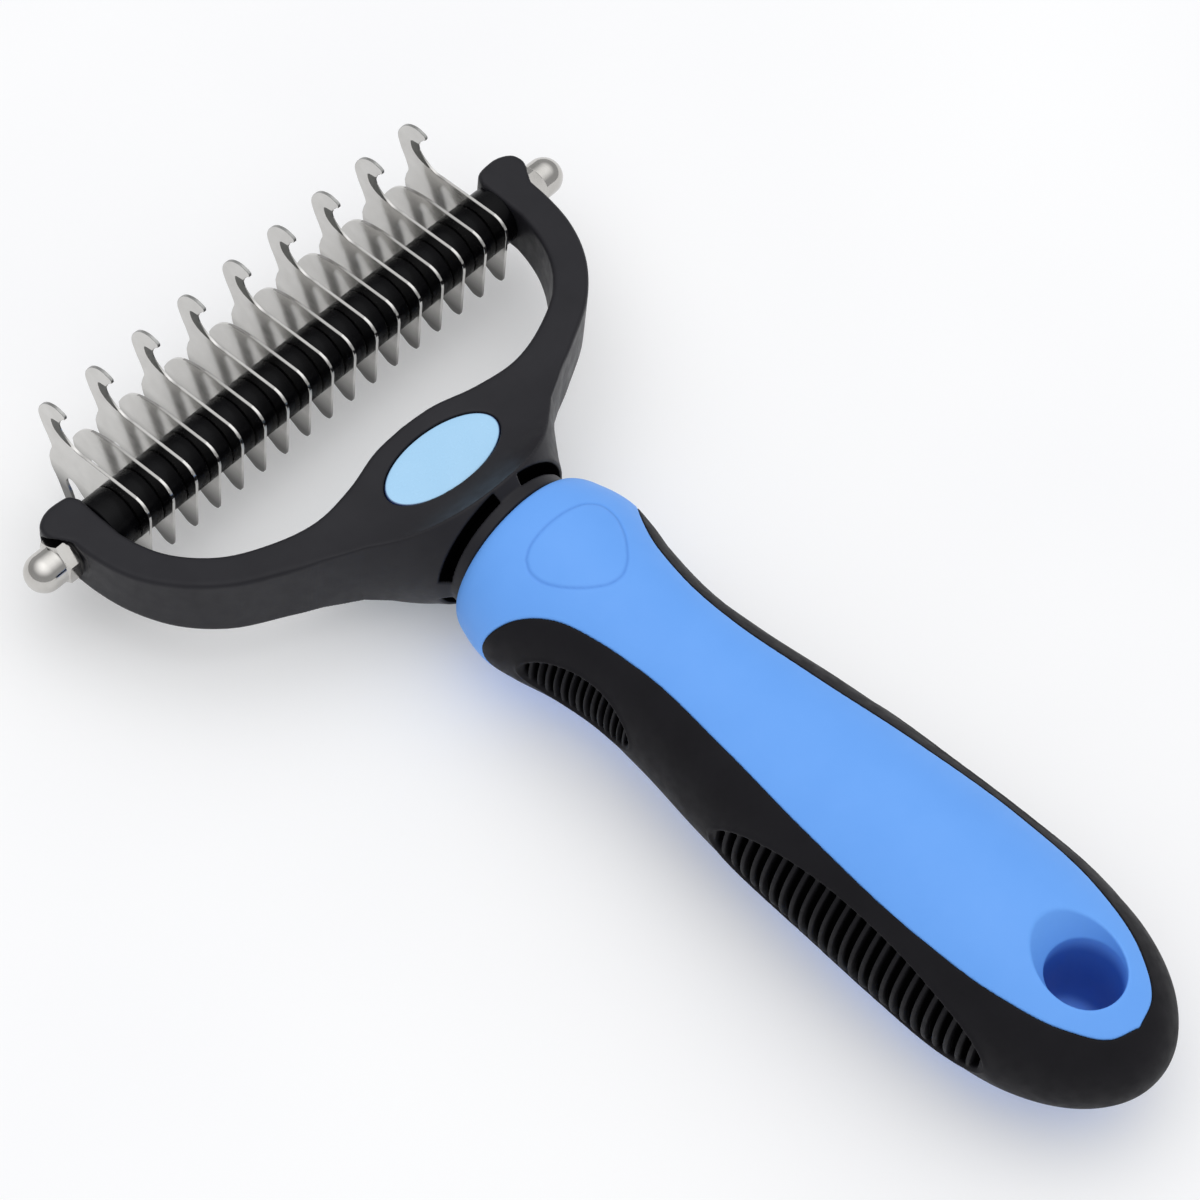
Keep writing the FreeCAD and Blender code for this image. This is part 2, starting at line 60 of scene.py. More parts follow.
SHAFT_RADIUS = 2.0
BORE_RADIUS = 2.05
SLEEVE_RADIUS = 4.7
SEAT_RADIUS = 4.25
BLADE_TOTAL = 17
BLADE_PITCH = 4.6
BLADE_THICK = 0.5
ARM_INNER = 41.3
NUT_SEAT = 46.9
NUT_GAP = 0.05

# Handle sections: y, half width, half depth.
HANDLE_SECTIONS = np.array([
    (-40.0, 11.6, 11.2),
    (-44.0, 12.6, 12.0),
    (-45.2, 13.8, 12.4),
    (-48.0, 15.1, 12.8),
    (-52.5, 16.0, 13.1),
    (-57.0, 15.3, 13.1),
    (-62.0, 13.9, 13.0),
    (-70.0, 12.7, 12.5),
    (-80.0, 13.3, 12.4),
    (-94.0, 15.2, 12.9),
    (-110.0, 16.5, 14.1),
    (-128.0, 17.1, 15.0),
    (-140.0, 16.8, 14.5),
    (-150.0, 15.2, 12.5),
    (-158.0, 11.4, 9.3),
    (-162.0, 7.6, 6.3),
    (-164.0, 4.2, 3.5),
])
HANDLE_END = -164.8
COLLAR_BACK = -43.95
HANDLE_FRONT = -44.1

# Half of the blue panel, seen from above.
PANEL_OUTLINE = [
    (16.6, -51.6), (15.4, -52.9), (12.9, -55.5), (10.1, -60.0), (8.3, -67.0), (7.6, -76.0),
    (8.8, -91.0), (10.9, -109.5), (12.1, -129.0), (11.2, -143.0), (8.2, -153.0), (4.3, -158.2),
    (0.0, -159.7),
]
THUMB_OUTLINE = [
    (-6.8, -51.4), (-5.2, -50.5), (-2.6, -50.0), (0.4, -49.9), (3.7, -50.2), (6.2, -50.9),
    (7.8, -52.4), (8.0, -54.7), (6.8, -57.5), (4.7, -60.2), (2.6, -62.1), (0.5, -63.1),
    (-1.6, -62.9), (-3.8, -61.4), (-5.7, -59.3), (-7.0, -57.2), (-7.8, -54.9), (-7.7, -53.0),
]
# Ribbed zones: middle y, half length, half height, number of grooves.
RIB_ZONES = [(-68.4, 10.2, 5.0, 15), (-121.4, 25.6, 8.4, 26)]

HOLE_Y = -149.7
HOLE_RADIUS = 5.7
HOLE_WALL = 9.7


# ---------------------------------------------------------------- curves and fields

def through(points, per_span=8):
    """Points along a smooth curve through the given points."""
    knots = np.array(points, float)
    spans = np.linalg.norm(np.diff(knots, axis=0), axis=1)[:, None]
    slopes = np.diff(knots, axis=0) / spans
    inner = (slopes[:-1] * spans[1:] + slopes[1:] * spans[:-1]) / (spans[1:] + spans[:-1])
    tangents = np.vstack([slopes[:1], inner, slopes[-1:]])
    share = np.linspace(0, 1, per_span, endpoint=False)[:, None]
    pieces = []
    for k, span in enumerate(spans):
        a, b = knots[k], knots[k + 1]
        ta, tb = tangents[k] * span, tangents[k + 1] * span
        pieces.append((2 * share**3 - 3 * share**2 + 1) * a + (share**3 - 2 * share**2 + share) * ta
                      + (3 * share**2 - 2 * share**3) * b + (share**3 - share**2) * tb)
    return np.vstack(pieces + [knots[-1:]])


def profile_at(knots, values, x):
    """A smooth function through (knots, values), and its slope, at each x."""
    order = np.argsort(knots)
    u, v = np.asarray(knots)[order], np.asarray(values)[order]
    h = np.diff(u)
    rise = np.diff(v) / h
    inner = (rise[:-1] * h[1:] + rise[1:] * h[:-1]) / (h[1:] + h[:-1])
    slope = np.concatenate([rise[:1], inner, rise[-1:]])
    k = np.clip(np.searchsorted(u, x) - 1, 0, len(h) - 1)
    w = (x - u[k]) / h[k]
    value = ((2 * w**3 - 3 * w**2 + 1) * v[k] + (w**3 - 2 * w**2 + w) * h[k] * slope[k]
             + (3 * w**2 - 2 * w**3) * v[k + 1] + (w**3 - w**2) * h[k] * slope[k + 1])
    change = ((6 * w**2 - 6 * w) * (v[k] - v[k + 1]) / h[k] + (3 * w**2 - 4 * w + 1) * slope[k]
              + (3 * w**2 - 2 * w) * slope[k + 1])
    return value, change


def outline_distance(outline, x, y):
    """Signed distance from each (x, y) to a closed outline, negative inside."""
    nearest = np.full(np.broadcast(x, y).shape, np.inf)
    inside = np.zeros(nearest.shape, bool)
    for (ax, ay), (bx, by) in zip(outline, np.roll(outline, -1, axis=0)):
        ex, ey = bx - ax, by - ay
        along = np.clip(((x - ax) * ex + (y - ay) * ey) / max(ex * ex + ey * ey, 1e-12), 0, 1)
        nearest = np.minimum(nearest, (x - ax - along * ex)**2 + (y - ay - along * ey)**2)
        if ay != by:
            inside ^= ((ay > y) != (by > y)) & (x < ax + (y - ay) * ex / ey)
    return np.where(inside, -1, 1) * np.sqrt(nearest)


def mirrored(points):
    return [(-x, y) for x, y in reversed(points)]


def both(a, b, radius):
    """Where two fields overlap, with the edge between them rounded."""
    corner = np.hypot(np.maximum(radius + a, 0), np.maximum(radius + b, 0))
    return np.minimum(-radius, np.maximum(a, b)) + corner


def either(a, b, radius):
    """The union of two fields, with the corner between them filled."""
    corner = np.hypot(np.maximum(radius - a, 0), np.maximum(radius - b, 0))
    return np.maximum(radius, np.minimum(a, b)) - corner


def step_between(x, low, high):
    w = np.clip((x - low) / (high - low), 0, 1)
    return w * w * (3 - 2 * w)


def grid(low, high, step):
    """Sample positions along X, Y and Z, shaped to broadcast against each other."""
    axes = [np.arange(a - 2 * step, b + 3 * step, step, dtype=np.float32)
            for a, b in zip(low, high)]
    return axes[0][:, None, None], axes[1][None, :, None], axes[2][None, None, :]


def sample(field, points):
    """The field at points given in cell units."""
    base = np.clip(np.floor(points).astype(int), 0, np.array(field.shape) - 2)
    part = points - base
    total = np.zeros(len(points))
    for corner in np.ndindex(2, 2, 2):
        weight = np.prod(np.where(corner, part, 1 - part), axis=1)
        total += weight * field[tuple((base + corner).T)]
    return total


def skin(field, axes):
    """Quads over the field's zero level: one vertex in each cell that the surface crosses."""
    field = np.ascontiguousarray(field, dtype=np.float32)
    inside = field < 0
    shape = np.array(field.shape)
    strides = np.array([shape[1] * shape[2], shape[2], 1])
    owners, points, quads = [], [], []
    for axis in range(3):
        first = [slice(None)] * 3
        second = [slice(None)] * 3
        first[axis], second[axis] = slice(None, -1), slice(1, None)
        crossed = np.argwhere(inside[tuple(first)] != inside[tuple(second)])
        a = field[tuple(crossed.T)]
        end = crossed.copy()
        end[:, axis] += 1
        b = field[tuple(end.T)]
        point = crossed.astype(float)
        point[:, axis] += a / (a - b)
        u, v = (axis + 1) % 3, (axis + 2) % 3
        ring = []
        for du, dv in [(-1, -1), (0, -1), (0, 0), (-1, 0)]:
            cell = crossed.copy()
            cell[:, u] += du
            cell[:, v] += dv
            ring.append(cell @ strides)
            points.append(point)
        owners.extend(ring)
        ring = np.stack(ring, axis=1)
        quads.append(np.where((a < 0)[:, None], ring, ring[:, ::-1]))
    owners, points, quads = np.concatenate(owners), np.vstack(points), np.vstack(quads)
    cells, number = np.unique(owners, return_inverse=True)
    count = np.bincount(number)
    vertices = np.stack([np.bincount(number, points[:, k]) / count for k in range(3)], axis=1)
    for _ in range(2):
        slope = np.stack([sample(field, vertices + 0.5 * e) - sample(field, vertices - 0.5 * e)
                          for e in np.eye(3)], axis=1)
        steep = np.maximum((slope**2).sum(axis=1), 1e-9)
        move = slope * (-sample(field, vertices) / steep)[:, None]
        vertices += np.clip(move, -0.3, 0.3)
    origin = np.array([axis.ravel()[0] for axis in axes])
    step = axes[0].ravel()[1] - axes[0].ravel()[0]
    return vertices * step + origin, np.searchsorted(cells, quads)


# ---------------------------------------------------------------- making pieces

def finish_piece(piece, materials, nodes, body):
    scene.collection.objects.link(piece)
    piece.location = SHAFT_PLACE
    for material in materials if isinstance(materials, tuple) else (materials,):
        piece.data.materials.append(material)
    bpy.context.view_layer.update()
    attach(piece, body)
    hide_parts(*nodes)
    return piece


def big_piece(name, vertices, quads, material, nodes, recess=None, body="rake"):
    mesh = bpy.data.meshes.new(name)
    mesh.vertices.add(len(vertices))
    mesh.vertices.foreach_set("co", (vertices * MM).astype(np.float32).ravel())
    mesh.loops.add(quads.size)
    mesh.loops.foreach_set("vertex_index", quads.astype(np.int32).ravel())
    mesh.polygons.add(len(quads))
    mesh.polygons.foreach_set("loop_start", np.arange(0, quads.size, 4, dtype=np.int32))
    mesh.update(calc_edges=True)
    mesh.validate()
    mesh.shade_smooth()
    # The recess values are painted shade, which the material uses to darken the colour.
    if recess is not None:
        layer = mesh.attributes.new("recess", "FLOAT", "POINT")
        layer.data.foreach_set("value", recess.astype(np.float32))
    return finish_piece(bpy.data.objects.new(name, mesh), material, nodes, body)


def small_piece(name, vertices, faces, material, nodes, body="rake", crease=30, kinds=None):
    mesh = bpy.data.meshes.new(name)
    mesh.from_pydata([Vector(v) * MM for v in vertices], [], faces)
    shape = bmesh.new()
    shape.from_mesh(mesh)
    bmesh.ops.remove_doubles(shape, verts=shape.verts, dist=1e-7)
    bmesh.ops.recalc_face_normals(shape, faces=shape.faces)
    shape.to_mesh(mesh)
    shape.free()
    mesh.shade_smooth()
    mesh.set_sharp_from_angle(angle=math.radians(crease))
    piece = bpy.data.objects.new(name, mesh)
    finish_piece(piece, material, nodes, body)
    if kinds is not None:
        mesh.polygons.foreach_set("material_index", kinds)
    return piece


def grid_faces(rows, columns, close_rows=False):
    """Quads over a grid of vertices whose columns wrap round."""
    faces = []
    for r in range(rows if close_rows else rows - 1):
        for c in range(columns):
            d = (c + 1) % columns
            s = (r + 1) % rows
            faces.append((r * columns + c, r * columns + d, s * columns + d, s * columns + c))
    return faces


def turned(name, profile, material, nodes, body="rake", sides=RIM_SIDES, closed=True):
    """A profile of (x, radius) points turned about the X axis."""
    angles = [2 * math.pi * k / sides for k in range(sides)]
    vertices = [(x, r * math.cos(a), r * math.sin(a)) for x, r in profile for a in angles]
    return small_piece(name, vertices, grid_faces(len(profile), sides, closed), material, nodes, body)


# ---------------------------------------------------------------- materials

class Nodes:
    """Builds one node material around a Principled shader."""

    def __init__(self, name):
        self.material = bpy.data.materials.new(name)
        self.material.use_nodes = True
        self.tree = self.material.node_tree
        self.shader = self.tree.nodes["Principled BSDF"]
        place = self.add("ShaderNodeTexCoord")
        scale = self.add("ShaderNodeMapping")
        scale.inputs["Scale"].default_value = (1 / MM, 1 / MM, 1 / MM)
        self.link(place.outputs["Object"], scale.inputs["Vector"])
        self.millimetres = scale.outputs["Vector"]

    def add(self, kind):
        return self.tree.nodes.new(kind)

    def link(self, source, target):
        self.tree.links.new(source, target)

    def noise(self, per_mm, detail=3.0, stretch=(1, 1, 1)):
        squeeze = self.add("ShaderNodeMapping")
        squeeze.inputs["Scale"].default_value = stretch
        self.link(self.millimetres, squeeze.inputs["Vector"])
        noise = self.add("ShaderNodeTexNoise")
        noise.inputs["Scale"].default_value = per_mm
        noise.inputs["Detail"].default_value = detail
        self.link(squeeze.outputs["Vector"], noise.inputs["Vector"])
        return noise.outputs["Fac"]

    def spread(self, source, low, high):
        ramp = self.add("ShaderNodeMapRange")
        ramp.inputs["From Min"].default_value = 0.3
        ramp.inputs["From Max"].default_value = 0.7
        ramp.inputs["To Min"].default_value = low
        ramp.inputs["To Max"].default_value = high
        self.link(source, ramp.inputs["Value"])
        return ramp.outputs["Result"]

    def blend(self, share, first, second):
        mix = self.add("ShaderNodeMix")
        mix.data_type = "RGBA"
        for socket, value in [(mix.inputs[6], first), (mix.inputs[7], second)]:
            if isinstance(value, bpy.types.NodeSocket):
                self.link(value, socket)
            else:
                socket.default_value = (*value, 1)
        if isinstance(share, bpy.types.NodeSocket):
            self.link(share, mix.inputs[0])
        else:
            mix.inputs[0].default_value = share
        return mix.outputs[2]

    def colour(self, source):
        self.link(source, self.shader.inputs["Base Color"])

    def roughness(self, source):
        self.link(source, self.shader.inputs["Roughness"])

    def bump(self, source, height_mm, strength=1.0):
        bump = self.add("ShaderNodeBump")
        bump.inputs["Distance"].default_value = height_mm * MM
        bump.inputs["Strength"].default_value = strength
        self.link(source, bump.inputs["Height"])
        self.link(bump.outputs["Normal"], self.shader.inputs["Normal"])

    def set(self, **values):
        for name, value in values.items():
            self.shader.inputs[name.replace("_", " ")].default_value = value


def moulded(name, dark, light, rough, grain_per_mm, grain_mm, shade=(0.001, 0.001, 0.001), **extra):
    """Moulded plastic or rubber: slow colour change, uneven sheen, a fine grain, and painted shade in recesses
    (darker colour, no sheen).
    """
    m = Nodes(name)
    # Painted shade: the recess attribute blends the colour towards the shade colour and takes the sheen away.
    recess = m.add("ShaderNodeAttribute")
    recess.attribute_name = "recess"
    face = m.blend(m.spread(m.noise(0.12, 4), 0, 1), dark, light)
    m.colour(m.blend(recess.outputs["Fac"], face, shade))
    m.roughness(m.spread(m.noise(0.5, 4), *rough))
    sheen = m.add("ShaderNodeMapRange")
    sheen.inputs["To Min"].default_value = extra.pop("Specular_IOR_Level", 0.5)
    sheen.inputs["To Max"].default_value = 0.0
    m.link(recess.outputs["Fac"], sheen.inputs["Value"])
    m.link(sheen.outputs["Result"], m.shader.inputs["Specular IOR Level"])
    m.bump(m.noise(grain_per_mm, 2), grain_mm, 0.6)
    m.set(**extra)
    return m.material


def metal(name, dark, light, rough, brush, brush_mm, painted_shade_below=1.0, **extra):
    """Brushed metal: brush gives the lines per mm along each axis; lower is the share of the dark colour left
    below the shaft, as painted shade.
    """
    m = Nodes(name)
    lines = m.noise(1.0, 3, brush)
    face = m.blend(m.spread(m.noise(0.35, 4), 0, 1), dark, light)
    # Painted shade: from 1 mm to 5.5 mm below the shaft the colour darkens to a share of the dark colour.
    if painted_shade_below < 1:
        height = m.add("ShaderNodeSeparateXYZ")
        m.link(m.millimetres, height.inputs["Vector"])
        shade_ramp = m.add("ShaderNodeMapRange")
        shade_ramp.inputs["From Min"].default_value = -1.0
        shade_ramp.inputs["From Max"].default_value = -5.5
        m.link(height.outputs["Z"], shade_ramp.inputs["Value"])
        face = m.blend(shade_ramp.outputs["Result"], face, tuple(painted_shade_below * part for part in dark))
    m.colour(face)
    m.roughness(m.spread(lines, *rough))
    m.bump(lines, brush_mm, 0.5)
    m.set(Metallic=1.0, **extra)
    return m.material


def badge_material():
    """Light blue inlay with a thin darker line just inside its rim."""
    m = Nodes("badge_inlay")
    centre = m.add("ShaderNodeVectorMath")
    centre.operation = "MULTIPLY_ADD"
    centre.inputs[1].default_value = (1 / BADGE_LONG, 1 / BADGE_SHORT, 0)
    centre.inputs[2].default_value = (0, -BADGE_Y / BADGE_SHORT, 0)
    m.link(m.millimetres, centre.inputs[0])
    reach = m.add("ShaderNodeVectorMath")
    reach.operation = "LENGTH"
    m.link(centre.outputs["Vector"], reach.inputs[0])
    edge = m.add("ShaderNodeMapRange")
    edge.inputs["From Min"].default_value = 0.965
    edge.inputs["From Max"].default_value = 0.985
    m.link(reach.outputs["Value"], edge.inputs["Value"])
    face = m.blend(m.spread(m.noise(0.2, 3), 0, 1), (0.41, 0.70, 0.97), (0.425, 0.715, 0.985))
    m.colour(m.blend(edge.outputs["Result"], face, (0.01, 0.03, 0.12)))
    m.roughness(m.spread(m.noise(1.0, 3), 0.22, 0.3))
    m.bump(m.noise(6.0, 2), 0.0015, 0.4)
    return m.material


BADGE_LONG = 10.7
BADGE_SHORT = 5.3
BADGE_Y = -28.6
BADGE_Z = 6.35
BADGE_TILT = math.radians(6)
BADGE_DEEP = 1.4

blue_plastic = moulded("blue_plastic", (0.148, 0.405, 0.98), (0.158, 0.42, 1.0), (0.45, 0.55),
                       4.0, 0.008, shade=(0.045, 0.15, 0.55), Specular_IOR_Level=0.3)
charcoal_plastic = moulded("charcoal_plastic", (0.0185, 0.018, 0.0215), (0.0225, 0.022, 0.026),
                           (0.36, 0.48), 5.0, 0.02, Specular_IOR_Level=0.17)
grip_rubber = moulded("grip_rubber", (0.007, 0.0065, 0.0085), (0.0095, 0.009, 0.0115),
                      (0.5, 0.65), 6.0, 0.015, Specular_IOR_Level=0.14)
black_gloss = moulded("black_gloss", (0.002, 0.002, 0.0025), (0.004, 0.004, 0.005),
                      (0.16, 0.34), 1.2, 0.012, Specular_IOR_Level=0.09)
# The blade steel is painted darker below the shaft: painted shade on the teeth there.
blade_steel = metal("blade_steel", (0.56, 0.55, 0.53), (0.62, 0.61, 0.59), (0.10, 0.16),
                    (1, 0.5, 7), 0.0015, painted_shade_below=0.26)
# The ground bevels and the hook's rims are rougher than the faces, and also painted darker: painted dark
# reflection.
ground_steel_painted_dark = metal("ground_steel_painted_dark", (0.09, 0.09, 0.085), (0.14, 0.14, 0.13), (0.35, 0.5),
                     (1, 5, 1.5), 0.004)
rim_steel_painted_dark = metal("rim_steel_painted_dark", (0.34, 0.34, 0.33), (0.42, 0.42, 0.41), (0.35, 0.5),
                  (1, 4, 4), 0.003)
shaft_steel = metal("shaft_steel", (0.5, 0.5, 0.5), (0.6, 0.6, 0.6), (0.25, 0.35),
                    (0.5, 6, 6), 0.003)
nut_chrome = metal("nut_chrome", (0.5, 0.485, 0.46), (0.58, 0.565, 0.54), (0.06, 0.16),
                   (2, 2, 2), 0.006)
badge_blue = badge_material()


# ---------------------------------------------------------------- handle

def handle_field(x, y, z):
    """Distance to the handle's outer surface."""
    knots = HANDLE_SECTIONS[:, 0]
    beyond = [HANDLE_END, HANDLE_END - 6]
    squares = np.concatenate([HANDLE_SECTIONS[:, 1]**2, [0, -140]])
    ratios = HANDLE_SECTIONS[:, 1] / HANDLE_SECTIONS[:, 2]
    size, size_slope = profile_at(np.concatenate([knots, beyond]), squares, y)
    ratio, ratio_slope = profile_at(knots, ratios, np.maximum(y, knots[-1]))
    level = x**2 + (ratio * z)**2 - size
    slope = np.sqrt(4 * x**2 + 4 * (ratio**2 * z)**2
                    + (2 * ratio * ratio_slope * z**2 - size_slope)**2)
    return level / np.maximum(slope, 2.0)


def hole_field(x, y, z):
    """The hanging hole: an upright bore with a slanted lead-in at each face."""
    rise = np.clip(np.abs(z) - HOLE_WALL, 0, None)
    centre = HOLE_Y + 0.36 * rise
    radius = HOLE_RADIUS + 0.34 * rise
    return np.sqrt(x**2 + (y - centre)**2) - radius


def rib_cut(y, z):
    """How far the ribbed zones lie below the grip's surface, and the painted shade in their grooves."""
    depth = shade = 0
    for middle, half_length, half_height, count in RIB_ZONES:
        u, v = (y - middle) / half_length, z / half_height
        reach = np.maximum(np.sqrt(u**2 + v**2), 0.05)
        edge = (reach - 1) * reach / np.sqrt((u / half_length)**2 + (v / half_height)**2 + 1e-6)
        pitch = 2 * half_length / (count + 0.8)
        wave = np.cos(2 * np.pi * (y - middle) / pitch + (math.pi if count % 2 == 0 else 0))
        grooves = 0.5 + 0.5 * np.tanh(4.0 * (wave + 0.18))
        dish = 0.3 * step_between(-edge, 0.1, 0.6)
        rim = 0.14 * np.exp(-(edge / 0.28)**2)
        inside = grooves * step_between(-edge, 0.5, 0.95)
        depth = depth + dish - rim + 1.05 * inside
        shade = shade + inside
    return depth, shade


def make_handle():
    half = through(PANEL_OUTLINE, 6)
    half = [tuple(p) for p in half]
    front = [(-24.0, PANEL_OUTLINE[0][1]), (-24.0, -30.0), (24.0, -30.0), (24.0, PANEL_OUTLINE[0][1])]
    panel = np.array(half + mirrored(half)[1:] + front)
    thumb = through(THUMB_OUTLINE + THUMB_OUTLINE[:1], 6)[:-1]
    wide = HANDLE_SECTIONS[:, 1].max()
    deep = HANDLE_SECTIONS[:, 2].max()
    axes = grid((-wide, HANDLE_END, -deep), (wide, HANDLE_FRONT, deep), FINE_STEP)
    x, y, z = axes
    flat_x, flat_y = x[:, :, 0], y[:, :, 0]
    panel_edge = outline_distance(panel, flat_x, flat_y)[:, :, None]
    thumb_edge = outline_distance(thumb, flat_x, flat_y)[:, :, None]
    body = handle_field(x, y, z)
    line = 0.13 * np.exp(-(thumb_edge / 0.2)**2)
    core = both(body + line, y - HANDLE_FRONT, 0.6)
    core = both(core, panel_edge + 0.01, 0.16)
    core = both(core, -hole_field(x, y, z), 0.35)
    points, quads = skin(core, axes)
    # Painted shade: darker deeper inside the hanging hole, and along the groove of the thumb outline.
    near_line = outline_distance(thumb, points[:, 0], points[:, 1])
    depth_in_hole = HOLE_WALL - np.abs(points[:, 2])
    in_hole = np.hypot(points[:, 0], points[:, 1] - HOLE_Y) < HOLE_RADIUS + 0.2
    shade = np.where(in_hole, 0.9 * step_between(depth_in_hole, -0.3, 4.0), 0.35 * np.exp(-(near_line / 0.2)**2))
    big_piece("handle_body", points, quads, blue_plastic, ["handle_core"], shade)
    cut, _ = rib_cut(y, z)
    grip = both(body + cut, -panel_edge + 0.01, 0.16)
    points, quads = skin(grip, axes)
    # Painted shade in the rib grooves.
    _, shade = rib_cut(points[:, 1], points[:, 2])
    big_piece("handle_grip", points, quads, grip_rubber, ["grip_overmould"], shade)


# ---------------------------------------------------------------- yoke

YOKE_OUTSIDE = [(47.2, -1.5), (46.9, -5.6), (45.8, -10.7), (42.2, -17.5), (37.2, -22.6),
                (28.0, -27.8), (23.2, -30.5), (20.2, -33.6), (18.0, -37.0), (16.4, -40.9),
                (16.0, -44.0)]
YOKE_TIP = [(41.3, 3.4), (42.1, 4.8), (44.4, 5.35), (47.0, 5.1), (48.8, 3.9), (49.2, 2.2),
            (48.5, 0.4), (47.2, -1.5)]
YOKE_INSIDE = [(41.3, -4.8), (40.8, -7.4), (39.4, -11.5), (34.4, -18.0), (28.7, -21.2),
               (20.5, -23.4), (13.0, -22.6), (5.5, -20.6), (0.0, -20.2)]
YOKE_HALF_DEPTH = [(8.0, 4.7), (-7.0, 4.7), (-12.0, 5.0), (-17.0, 5.6), (-22.0, 6.0), (-28.6, 6.35),
                   (-32.0, 7.0), (-35.0, 8.1), (-38.0, 10.4), (-40.0, 12.6), (-41.2, 14.4),
                   (-46.0, 20.0)]
NECK_FLARE = [(-44.0, 11.6), (-42.0, 11.6), (-40.7, 13.0), (-38.9, 14.2), (-36.9, 15.8), (-34.7, 17.6),
              (-32.2, 20.2), (-29.2, 25.4), (-26.4, 32.0), (-15.0, 60.0), (10.0, 90.0)]
NECK_RADIUS = 13.0
COLLAR_RADIUS = 11.6
SLOT_MIDDLE = -41.3
SLOT_HALF = 0.7
SLOT_FLOOR = 9.8
SLOT_SPANS = [(10.5, 88.0), (110.0, 169.5)]


def badge_place(side):
    """From the badge's own flat frame to its place on the top (1) or bottom (-1)."""
    turn = Matrix.Rotation(-side * BADGE_TILT, 4, "X")
    flip = Matrix.Rotation(0 if side > 0 else math.pi, 4, "Y")
    return Matrix.Translation((0, BADGE_Y, side * BADGE_Z)) @ turn @ flip


def make_yoke():
    inside = [tuple(p) for p in through(YOKE_INSIDE, 6)]
    tip = [tuple(p) for p in through(YOKE_TIP, 6)]
    outside = [tuple(p) for p in through(YOKE_OUTSIDE, 6)]
    half = inside[::-1] + tip[:-1] + outside
    plan = np.array(half[1:] + mirrored(half))
    axes = grid((-49.3, COLLAR_BACK, -NECK_RADIUS), (49.3, 5.5, NECK_RADIUS), YOKE_STEP)
    x, y, z = axes
    wall = outline_distance(plan, x[:, :, 0], y[:, :, 0])[:, :, None]
    levels = np.array(YOKE_HALF_DEPTH)
    half_depth, _ = profile_at(levels[:, 0], levels[:, 1], y)
    around = np.sqrt(x**2 + z**2)
    knots = np.array(NECK_FLARE)
    flare = np.where(y < SLOT_MIDDLE - SLOT_HALF, COLLAR_RADIUS,
                     np.interp(y, knots[:, 0], knots[:, 1]).astype(np.float32))
    shape = both(both(wall, np.abs(z) - half_depth, 0.75), around - flare, 0.3)
    shape = both(shape, COLLAR_BACK - y, 0.15)
    angle = np.degrees(np.arctan2(np.abs(x), z))
    for start, end in SLOT_SPANS:
        across = np.radians(np.abs(angle - (start + end) / 2) - (end - start) / 2) * around
        slot = np.maximum(np.abs(y - SLOT_MIDDLE) - SLOT_HALF, SLOT_FLOOR - around)
        shape = both(shape, -np.maximum(slot, across), 0.06)
    recess = both(np.sqrt(y**2 + z**2) - SEAT_RADIUS, NUT_SEAT - np.abs(x), 0.1)
    shape = both(shape, -recess, 0.2)
    bore = np.sqrt(y**2 + z**2) - BORE_RADIUS
    shape = both(shape, -bore, 0.15)
    lean = math.tan(BADGE_TILT)
    floor = BADGE_Z - BADGE_DEEP - lean * (y - BADGE_Y)
    reach = np.sqrt((x / BADGE_LONG)**2 + ((y - BADGE_Y) / BADGE_SHORT)**2)
    slope = np.sqrt((x / BADGE_LONG**2)**2 + ((y - BADGE_Y) / BADGE_SHORT**2)**2) + 1e-3
    pocket = np.maximum((reach - 1) * reach / slope - 0.08, floor - np.abs(z))
    shape = both(shape, -pocket, 0.15)
    points, quads = skin(shape, axes)
    # Painted shade inside the neck slots, darker further below the neck's surface.
    around = np.hypot(points[:, 0], points[:, 2])
    in_slot = np.abs(points[:, 1] - SLOT_MIDDLE) < SLOT_HALF + 0.12
    rim = np.interp(points[:, 1], knots[:, 0], knots[:, 1])
    shade = in_slot * step_between(rim - around, 0.15, 0.45)
    big_piece("yoke", points, quads, charcoal_plastic, ["yoke_frame"], shade)


def make_badge(name, side):
    """Oval inlay with a rounded rim and a very slight crown."""
    sides = 96
    rings = [(0.0, 0.12), (0.4, 0.10), (0.75, 0.06), (0.93, 0.02), (0.972, -0.03), (0.992, -0.14),
             (1.0, -0.35), (1.0, -BADGE_DEEP + 0.05), (0.0, -BADGE_DEEP + 0.05)]
    place = badge_place(side)
    vertices = []
    for reach, height in rings:
        for k in range(sides):
            turn = 2 * math.pi * k / sides
            point = (BADGE_LONG * reach * math.cos(turn), BADGE_SHORT * reach * math.sin(turn), height)
            vertices.append(place @ Vector(point))
    small_piece(f"{name}_inlay", vertices, grid_faces(len(rings), sides), badge_blue, [name])


# ---------------------------------------------------------------- shaft, nuts, spacers, blades

def make_spacer(name, middle, length):
    half = length / 2
    soft = 0.3
    profile = [(-half, BORE_RADIUS), (-half, SLEEVE_RADIUS - soft)]
    for k in range(1, 5):
        turn = math.pi / 2 * k / 4
        profile.append((-half + soft - soft * math.cos(turn), SLEEVE_RADIUS - soft + soft * math.sin(turn)))
    profile += [(-x, r) for x, r in reversed(profile)]
    profile = [(x + middle, r) for x, r in profile]
    turned(f"{name}_sleeve", profile, black_gloss, [name])


